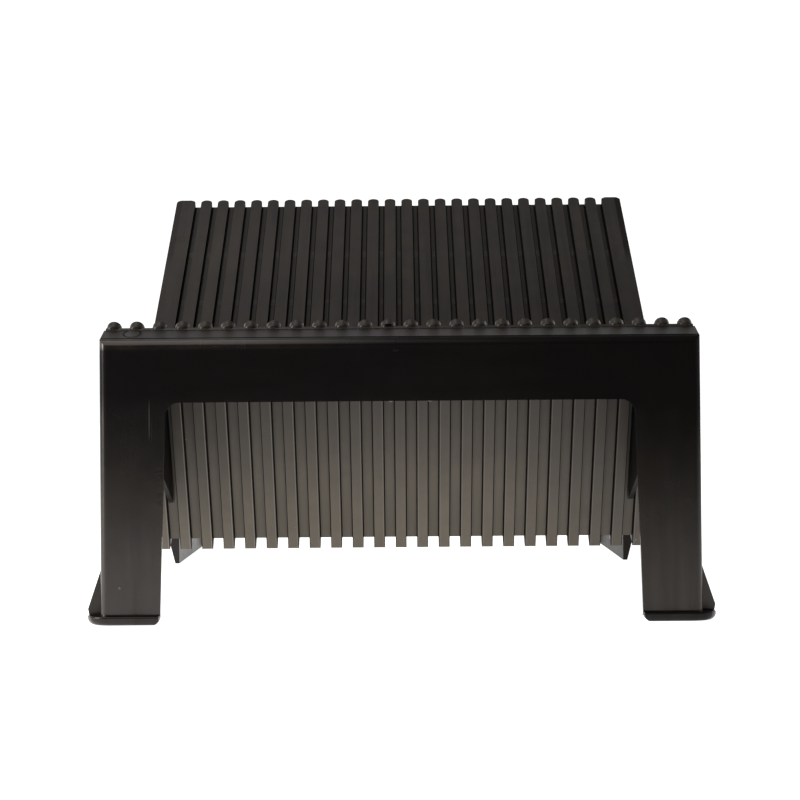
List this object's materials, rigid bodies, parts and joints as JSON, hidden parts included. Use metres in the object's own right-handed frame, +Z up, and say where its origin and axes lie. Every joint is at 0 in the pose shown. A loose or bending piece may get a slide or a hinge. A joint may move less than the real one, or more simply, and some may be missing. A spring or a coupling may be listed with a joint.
{
  "type": "circuit board rack",
  "caption": "Free-standing L-shaped circuit board rack of black conductive plastic, its slotted plates set square to each other on a front portal and rear legs.",
  "frame": {"origin": "middle of the bounding box at floor level", "axes": "+Z up, +X across the slots, +Y from the front portal towards the rear legs"},
  "size_m": [0.2728, 0.5104, 0.2163],
  "materials": {
    "black_plastic": "satin moulded black conductive polypropylene"
  },
  "bodies": {
    "root": {"rack": "black_plastic"}
  },
  "joints": []
}
